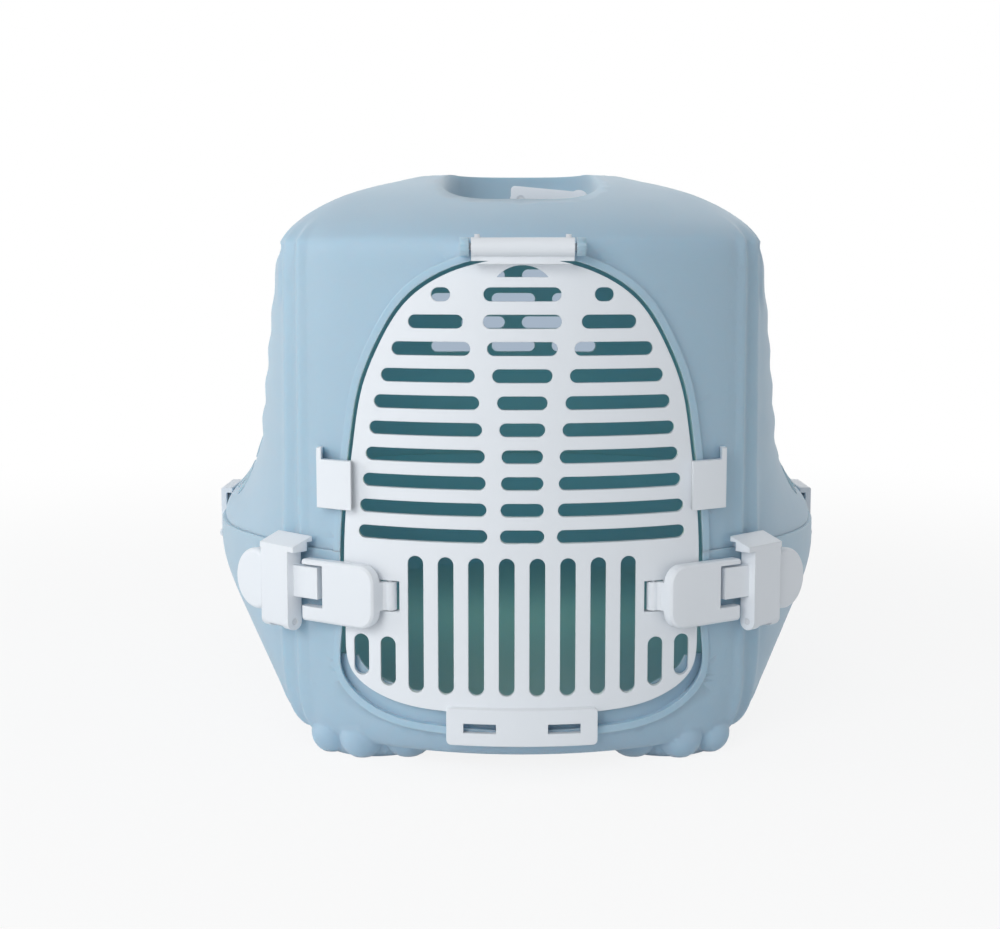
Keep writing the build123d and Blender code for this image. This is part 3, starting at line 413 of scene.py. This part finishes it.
def dress(node, body, material, bevel=0.0, front=False):
    """Merged, smoothly shaded copy of a node, with rounded edges, that stands for it."""
    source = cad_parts[node]
    mesh = source.data.copy()
    mesh.name = node + "_skin"
    work = bmesh.new()
    work.from_mesh(mesh)
    bmesh.ops.remove_doubles(work, verts=work.verts, dist=MERGE_DISTANCE)
    if bevel:
        bmesh.ops.dissolve_limit(
            work, angle_limit=math.radians(FLAT_ANGLE), verts=work.verts, edges=work.edges)
    work.to_mesh(mesh)
    work.free()
    mesh.materials.clear()
    mesh.materials.append(material)
    for face in mesh.polygons:
        face.material_index = 0
    mesh.shade_smooth()
    mesh.set_sharp_from_angle(angle=math.radians(SMOOTH_ANGLE))
    if front:
        even_front(mesh)
    piece = bpy.data.objects.new(node + "_skin", mesh)
    bpy.context.scene.collection.objects.link(piece)
    if bevel:
        rounding = piece.modifiers.new("Rounded edges", "BEVEL")
        rounding.width = bevel
        rounding.segments = 3
        rounding.limit_method = "ANGLE"
        rounding.angle_limit = math.radians(ROUNDED_ANGLE)
        rounding.harden_normals = False
    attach(piece, body)
    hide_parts(node)
    return piece


# Vent rims

def vent_rim_tree():
    """A row of rounded lips, laid on a surface by casting each outline against it."""
    name = "Vent Rim Row"
    if name in bpy.data.node_groups:
        return bpy.data.node_groups[name]
    tree, given, result = new_tree(
        name, "GeometryNodeTree",
        (("Geometry", "NodeSocketGeometry", None), ("Count", "NodeSocketInt", 6),
         ("Pitch", "NodeSocketFloat", 0.028), ("Width", "NodeSocketFloat", 0.009),
         ("Height", "NodeSocketFloat", 0.012), ("Rim Radius", "NodeSocketFloat", 0.0007),
         ("Round Ends", "NodeSocketBool", False), ("Middle", "NodeSocketVector", (0.0, 0.0, 0.0)),
         ("Turn", "NodeSocketFloat", 0.0), ("Cast", "NodeSocketVector", (1.0, 0.0, 0.0)),
         ("Material", "NodeSocketMaterial", None)),
        (("Geometry", "NodeSocketGeometry"),))
    link = tree.links.new

    # One outline in the XZ plane, a little outside the opening
    wide = add_node(tree, "ShaderNodeMath", operation="ADD")
    tall = add_node(tree, "ShaderNodeMath", operation="ADD")
    for total, socket in ((wide, "Width"), (tall, "Height")):
        link(given.outputs[socket], total.inputs[0])
        link(given.outputs["Rim Radius"], total.inputs[1])
    oval = add_node(tree, "GeometryNodeCurvePrimitiveCircle")
    oval.inputs["Resolution"].default_value = 28
    oval.inputs["Radius"].default_value = 0.5
    size = add_node(tree, "ShaderNodeCombineXYZ")
    link(wide.outputs[0], size.inputs["X"])
    link(tall.outputs[0], size.inputs["Y"])
    size.inputs["Z"].default_value = 1.0
    sized = add_node(tree, "GeometryNodeTransform")
    link(oval.outputs["Curve"], sized.inputs["Geometry"])
    link(size.outputs[0], sized.inputs["Scale"])
    box = add_node(tree, "GeometryNodeCurvePrimitiveQuadrilateral", mode="RECTANGLE")
    link(wide.outputs[0], box.inputs["Width"])
    link(tall.outputs[0], box.inputs["Height"])
    reach = add_node(tree, "ShaderNodeMath", operation="MULTIPLY")
    reach.inputs[1].default_value = 0.498
    link(tall.outputs[0], reach.inputs[0])
    rounded = add_node(tree, "GeometryNodeFilletCurve")
    link(box.outputs["Curve"], rounded.inputs[0])
    for socket in rounded.inputs:
        if socket.name == "Radius":
            link(reach.outputs[0], socket)
        if socket.name == "Mode" and hasattr(socket, "default_value"):
            socket.default_value = "Poly"
        if socket.name == "Count":
            socket.default_value = 8
    if hasattr(rounded, "mode"):
        rounded.mode = "POLY"
    dense = add_node(tree, "GeometryNodeResampleCurve")
    link(rounded.outputs[0], dense.inputs["Curve"])
    dense.inputs["Count"].default_value = 44
    pick = add_node(tree, "GeometryNodeSwitch", input_type="GEOMETRY")
    link(given.outputs["Round Ends"], pick.inputs["Switch"])
    link(sized.outputs["Geometry"], pick.inputs["False"])
    link(dense.outputs["Curve"], pick.inputs["True"])

    # A row of them, stood upright, turned and moved to the row's middle
    row = add_node(tree, "GeometryNodeMeshLine")
    link(given.outputs["Count"], row.inputs["Count"])
    step = add_node(tree, "ShaderNodeCombineXYZ")
    link(given.outputs["Pitch"], step.inputs["X"])
    link(step.outputs[0], row.inputs["Offset"])
    last = add_node(tree, "ShaderNodeMath", operation="SUBTRACT")
    last.inputs[1].default_value = 1.0
    link(given.outputs["Count"], last.inputs[0])
    half = add_node(tree, "ShaderNodeMath", operation="MULTIPLY")
    half.inputs[1].default_value = -0.5
    link(last.outputs[0], half.inputs[0])
    begin = add_node(tree, "ShaderNodeMath", operation="MULTIPLY")
    link(half.outputs[0], begin.inputs[0])
    link(given.outputs["Pitch"], begin.inputs[1])
    start = add_node(tree, "ShaderNodeCombineXYZ")
    link(begin.outputs[0], start.inputs["X"])
    link(start.outputs[0], row.inputs["Start Location"])
    copies = add_node(tree, "GeometryNodeInstanceOnPoints")
    link(row.outputs["Mesh"], copies.inputs["Points"])
    link(pick.outputs["Output"], copies.inputs["Instance"])
    copies.inputs["Rotation"].default_value = (math.pi / 2, 0.0, 0.0)
    turn = add_node(tree, "ShaderNodeCombineXYZ")
    link(given.outputs["Turn"], turn.inputs["Z"])
    placed = add_node(tree, "GeometryNodeTransform")
    link(copies.outputs["Instances"], placed.inputs["Geometry"])
    link(given.outputs["Middle"], placed.inputs["Translation"])
    link(turn.outputs[0], placed.inputs["Rotation"])
    loose = add_node(tree, "GeometryNodeRealizeInstances")
    link(placed.outputs["Geometry"], loose.inputs["Geometry"])

    # Lay every point on the surface, then give the outline its round section
    cast = add_node(tree, "GeometryNodeRaycast")
    link(given.outputs["Geometry"], cast.inputs["Target Geometry"])
    link(given.outputs["Cast"], cast.inputs["Ray Direction"])
    cast.inputs["Ray Length"].default_value = 0.5
    laid = add_node(tree, "GeometryNodeSetPosition")
    link(loose.outputs["Geometry"], laid.inputs["Geometry"])
    link(cast.outputs["Is Hit"], laid.inputs["Selection"])
    link(cast.outputs["Hit Position"], laid.inputs["Position"])
    section = add_node(tree, "GeometryNodeCurvePrimitiveCircle")
    section.inputs["Resolution"].default_value = 8
    link(given.outputs["Rim Radius"], section.inputs["Radius"])
    lip = add_node(tree, "GeometryNodeCurveToMesh")
    link(laid.outputs["Geometry"], lip.inputs["Curve"])
    link(section.outputs["Curve"], lip.inputs["Profile Curve"])
    soft = add_node(tree, "GeometryNodeSetShadeSmooth")
    link(lip.outputs["Mesh"], soft.inputs[0])
    whole = add_node(tree, "GeometryNodeRealizeInstances")
    link(soft.outputs[0], whole.inputs["Geometry"])
    coat = add_node(tree, "GeometryNodeSetMaterial")
    link(whole.outputs["Geometry"], coat.inputs["Geometry"])
    link(given.outputs["Material"], coat.inputs["Material"])
    link(coat.outputs["Geometry"], result.inputs["Geometry"])
    return tree


def rim_row(mesh, settings):
    """Plain mesh of one row of rims laid on the given mesh."""
    tree = vent_rim_tree()
    carrier = bpy.data.objects.new("rim_work", mesh)
    bpy.context.scene.collection.objects.link(carrier)
    modifier = carrier.modifiers.new("Rims", "NODES")
    modifier.node_group = tree
    for socket in tree.interface.items_tree:
        if socket.in_out == "INPUT" and socket.name in settings:
            modifier[socket.identifier] = settings[socket.name]
    graph = bpy.context.evaluated_depsgraph_get()
    plain = bpy.data.meshes.new_from_object(carrier.evaluated_get(graph))
    carrier.modifiers.remove(modifier)
    bpy.data.objects.remove(carrier)
    return plain


def join_meshes(name, meshes, material):
    """One mesh object from several."""
    work = bmesh.new()
    for mesh in meshes:
        work.from_mesh(mesh)
        bpy.data.meshes.remove(mesh)
    bmesh.ops.recalc_face_normals(work, faces=work.faces)
    joined = bpy.data.meshes.new(name)
    work.to_mesh(joined)
    work.free()
    joined.materials.append(material)
    joined.shade_smooth()
    piece = bpy.data.objects.new(name, joined)
    bpy.context.scene.collection.objects.link(piece)
    return piece


class CARRIER_OT_shells(bpy.types.Operator):
    """Finish the tray and the domed top"""

    bl_idname = "carrier.shells"
    bl_label = "Shells"

    def execute(self, context):
        for node in ("lower_shell", "upper_shell"):
            dress(node, "carrier", shell_plastic(), front=True)
        return {"FINISHED"}


class CARRIER_OT_door(bpy.types.Operator):
    """Finish the slotted door"""

    bl_idname = "carrier.door"
    bl_label = "Door"

    def execute(self, context):
        dress("door", "door", trim_plastic(), front=True)
        return {"FINISHED"}


class CARRIER_OT_trim(bpy.types.Operator):
    """Finish the handle, the latch levers and the clips"""

    bl_idname = "carrier.trim"
    bl_label = "Handle and latches"

    def execute(self, context):
        for node, body in MOVING_TRIM:
            dress(node, body, trim_plastic(), bevel=TRIM_ROUNDING * MM)
        return {"FINISHED"}


class CARRIER_OT_pins(bpy.types.Operator):
    """Give the hinge pins their finish"""

    bl_idname = "carrier.pins"
    bl_label = "Hinge pins"

    def execute(self, context):
        pins = [node for name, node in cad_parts.items() if name.endswith("_pin")]
        if not pins:
            raise RuntimeError("the frame has no hinge pins")
        for pin in pins:
            if not pin.data.materials:
                pin.data.materials.append(None)
            for slot in pin.material_slots:
                slot.material = pin_plastic()
        return {"FINISHED"}


class CARRIER_OT_vents(bpy.types.Operator):
    """Lay rounded lips round the vents of the sides and the rear"""

    bl_idname = "carrier.vents"
    bl_label = "Vent rims"

    def execute(self, context):
        vents = context.scene.carrier_vents
        skin = bpy.data.objects["upper_shell_skin"].data
        rows = []
        for side in (-1, 1):
            for height, opening in SIDE_VENT_ROWS:
                rows.append({
                    "Count": vents.side_count, "Pitch": vents.side_pitch, "Width": vents.side_width,
                    "Height": opening * MM, "Rim Radius": vents.rim_radius, "Round Ends": False,
                    "Middle": (side * SIDE_CAST_X, SIDE_VENT_MIDDLE_Y * MM, height * MM),
                    "Turn": math.pi / 2, "Cast": (-float(side), 0.0, 0.0)})
        for row in range(vents.rear_rows):
            rows.append({
                "Count": 3 if row % 2 else 2, "Pitch": vents.rear_pitch, "Width": vents.rear_width,
                "Height": vents.rear_height, "Rim Radius": vents.rim_radius, "Round Ends": True,
                "Middle": (0.0, REAR_CAST_Y, REAR_VENT_TOP_Z * MM - row * vents.rear_rise),
                "Turn": 0.0, "Cast": (0.0, -1.0, 0.0)})
        piece = join_meshes("vent_rims", [rim_row(skin, row) for row in rows], shell_plastic())
        if len(piece.data.polygons) < FEWEST_RIM_FACES:
            raise RuntimeError("the vent rims came out empty")
        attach(piece, "carrier")
        return {"FINISHED"}


class CARRIER_OT_studio(bpy.types.Operator):
    """Set the floor, the white surround, the lamps and the camera"""

    bl_idname = "carrier.studio"
    bl_label = "Studio"

    def execute(self, context):
        studio = context.scene.carrier_studio
        scene = context.scene
        scene.view_settings.view_transform = "Standard"
        self.camera(scene, studio)
        self.surround(scene, studio)
        self.floor(scene, studio)
        self.backdrop(scene, studio)
        for name, place, size, power, share in LAMPS:
            self.lamp(name, place, size, getattr(studio, power) * share)
        self.cabin_glow(scene, studio)
        return {"FINISHED"}

    def camera(self, scene, studio):
        data = bpy.data.cameras.new("Camera")
        data.sensor_width = SENSOR_WIDTH
        data.lens = studio.lens
        data.clip_start = NEAREST_SEEN
        data.clip_end = FARTHEST_SEEN
        camera = bpy.data.objects.new("Camera", data)
        camera.location = studio.camera_place
        camera.rotation_euler = (math.pi / 2 - studio.camera_tilt, 0.0, 0.0)
        scene.collection.objects.link(camera)
        scene.camera = camera

    def surround(self, scene, studio):
        world = bpy.data.worlds.new("Surround")
        scene.world = world
        world.use_nodes = True
        tree = world.node_tree
        tree.nodes.clear()
        link = tree.links.new
        level = studio.sky_level
        lit = add_node(tree, "ShaderNodeBackground", Color=(0.97, 0.985, 1.0, 1.0), Strength=level)
        seen = add_node(tree, "ShaderNodeBackground", Color=(1.0, 1.0, 1.0, 1.0), Strength=1.0)
        mix = add_node(tree, "ShaderNodeMixShader")
        output = add_node(tree, "ShaderNodeOutputWorld")
        link(self.seen_directly(tree), mix.inputs["Fac"])
        link(lit.outputs[0], mix.inputs[1])
        link(seen.outputs[0], mix.inputs[2])
        link(mix.outputs[0], output.inputs["Surface"])

    def seen_directly(self, tree):
        """1 for rays from the camera, and for those that glossy or clear surfaces send out."""
        path = add_node(tree, "ShaderNodeLightPath")
        first = add_node(tree, "ShaderNodeMath", operation="ADD", use_clamp=True)
        both = add_node(tree, "ShaderNodeMath", operation="ADD", use_clamp=True)
        tree.links.new(path.outputs["Is Camera Ray"], first.inputs[0])
        tree.links.new(path.outputs["Is Glossy Ray"], first.inputs[1])
        tree.links.new(first.outputs[0], both.inputs[0])
        tree.links.new(path.outputs["Is Transmission Ray"], both.inputs[1])
        return both.outputs[0]

    def sheet(self, scene, name, corners):
        """Flat sheet with four corners."""
        mesh = bpy.data.meshes.new(name)
        mesh.from_pydata(corners, [], [(0, 1, 2, 3)])
        made = bpy.data.objects.new(name, mesh)
        scene.collection.objects.link(made)
        return made

    def floor(self, scene, studio):
        half = studio.floor_half
        corners = [(-half, -half, 0.0), (half, -half, 0.0), (half, half, 0.0), (-half, half, 0.0)]
        floor = self.sheet(scene, "Floor", corners)
        paint = bpy.data.materials.new("floor_paint")
        paint.use_nodes = True
        tree = paint.node_tree
        link = tree.links.new
        shader = tree.nodes["Principled BSDF"]
        shader.inputs["Base Color"].default_value = (0.86, 0.87, 0.88, 1.0)
        shader.inputs["Roughness"].default_value = 0.75
        white = add_node(tree, "ShaderNodeEmission", Color=(1.0, 1.0, 1.0, 1.0), Strength=1.0)
        share = add_node(tree, "ShaderNodeMath", operation="MULTIPLY")
        place = add_node(tree, "ShaderNodeTexCoord")
        far = add_node(tree, "ShaderNodeVectorMath", operation="LENGTH")
        fade = add_node(tree, "ShaderNodeMapRange", interpolation_type="SMOOTHSTEP")
        for label, ends in (("From", FLOOR_FADE_FROM), ("To", FLOOR_FADE_TO)):
            fade.inputs[label + " Min"].default_value = ends[0]
            fade.inputs[label + " Max"].default_value = ends[1]
        link(place.outputs["Object"], far.inputs[0])
        link(far.outputs["Value"], fade.inputs["Value"])
        link(fade.outputs["Result"], share.inputs[1])
        mix = add_node(tree, "ShaderNodeMixShader")
        link(self.seen_directly(tree), share.inputs[0])
        link(share.outputs[0], mix.inputs["Fac"])
        link(shader.outputs[0], mix.inputs[1])
        link(white.outputs[0], mix.inputs[2])
        link(mix.outputs[0], tree.nodes["Material Output"].inputs["Surface"])
        floor.data.materials.append(paint)

    def backdrop(self, scene, studio):
        """Card behind the rear vents, seen only by rays that come from nearly straight in front."""
        low, high = CARD_Z
        corners = [(-CARD_HALF_X, CARD_Y, low), (CARD_HALF_X, CARD_Y, low),
                   (CARD_HALF_X, CARD_Y, high), (-CARD_HALF_X, CARD_Y, high)]
        card = self.sheet(scene, "Backdrop", corners)
        paper = bpy.data.materials.new("backdrop_paper")
        paper.use_nodes = True
        tree = paper.node_tree
        tree.nodes.clear()
        link = tree.links.new
        tone = add_node(tree, "ShaderNodeEmission", Color=(*studio.backdrop, 1.0), Strength=1.0)
        clear = add_node(tree, "ShaderNodeBsdfTransparent")
        path = add_node(tree, "ShaderNodeLightPath")
        view = add_node(tree, "ShaderNodeNewGeometry")
        facing = add_node(tree, "ShaderNodeVectorMath", operation="DOT_PRODUCT")
        facing.inputs[1].default_value = (0.0, -1.0, 0.0)
        head_on = add_node(tree, "ShaderNodeMath", operation="GREATER_THAN")
        head_on.inputs[1].default_value = HEAD_ON
        share = add_node(tree, "ShaderNodeMath", operation="MULTIPLY")
        mix = add_node(tree, "ShaderNodeMixShader")
        output = add_node(tree, "ShaderNodeOutputMaterial")
        link(view.outputs["Incoming"], facing.inputs[0])
        link(facing.outputs["Value"], head_on.inputs[0])
        link(head_on.outputs[0], share.inputs[0])
        link(path.outputs["Is Camera Ray"], share.inputs[1])
        link(share.outputs[0], mix.inputs["Fac"])
        link(clear.outputs[0], mix.inputs[1])
        link(tone.outputs[0], mix.inputs[2])
        link(mix.outputs[0], output.inputs["Surface"])
        card.data.materials.append(paper)

    def cabin_glow(self, scene, studio):
        """Small lamp in the cabin, for the daylight that real shells let through."""
        data = bpy.data.lights.new("Cabin glow", "POINT")
        data.energy = studio.cabin_power
        data.color = (0.62, 1.0, 0.64)
        data.shadow_soft_size = 0.05
        lamp = bpy.data.objects.new("Cabin glow", data)
        lamp.location = CABIN_MIDDLE
        lamp.visible_camera = False
        scene.collection.objects.link(lamp)

    def lamp(self, name, place, size, power):
        data = bpy.data.lights.new(name, "AREA")
        data.size = size
        data.energy = power
        lamp = bpy.data.objects.new(name, data)
        lamp.location = place
        aim = Vector(LAMP_TARGET) - lamp.location
        lamp.rotation_euler = aim.to_track_quat("-Z", "Y").to_euler()
        bpy.context.scene.collection.objects.link(lamp)


STEPS = (CARRIER_OT_studio, CARRIER_OT_shells, CARRIER_OT_door, CARRIER_OT_trim, CARRIER_OT_pins,
         CARRIER_OT_vents)


class CARRIER_PT_panel(bpy.types.Panel):
    """Sizes, colours and steps of the carrier's finish"""

    bl_idname = "CARRIER_PT_panel"
    bl_label = "Pet carrier"
    bl_space_type = "VIEW_3D"
    bl_region_type = "UI"
    bl_category = "Carrier"

    def draw(self, context):
        for group in ("carrier_finish", "carrier_vents", "carrier_studio"):
            settings = getattr(context.scene, group)
            box = self.layout.box()
            for name in settings.__annotations__:
                box.prop(settings, name)
        for step in STEPS:
            self.layout.operator(step.bl_idname)


GROUPS = (("carrier_finish", CARRIER_PG_finish), ("carrier_vents", CARRIER_PG_vents),
          ("carrier_studio", CARRIER_PG_studio))


def register():
    for name, group in GROUPS:
        bpy.utils.register_class(group)
        setattr(bpy.types.Scene, name, PointerProperty(type=group))
    for step in STEPS:
        bpy.utils.register_class(step)
    bpy.utils.register_class(CARRIER_PT_panel)


def unregister():
    bpy.utils.unregister_class(CARRIER_PT_panel)
    for step in reversed(STEPS):
        bpy.utils.unregister_class(step)
    for name, group in reversed(GROUPS):
        delattr(bpy.types.Scene, name)
        bpy.utils.unregister_class(group)


def main():
    register()
    bpy.ops.carrier.studio()
    bpy.ops.carrier.shells()
    bpy.ops.carrier.door()
    bpy.ops.carrier.trim()
    bpy.ops.carrier.pins()
    bpy.ops.carrier.vents()


if __name__ == "__main__":
    main()
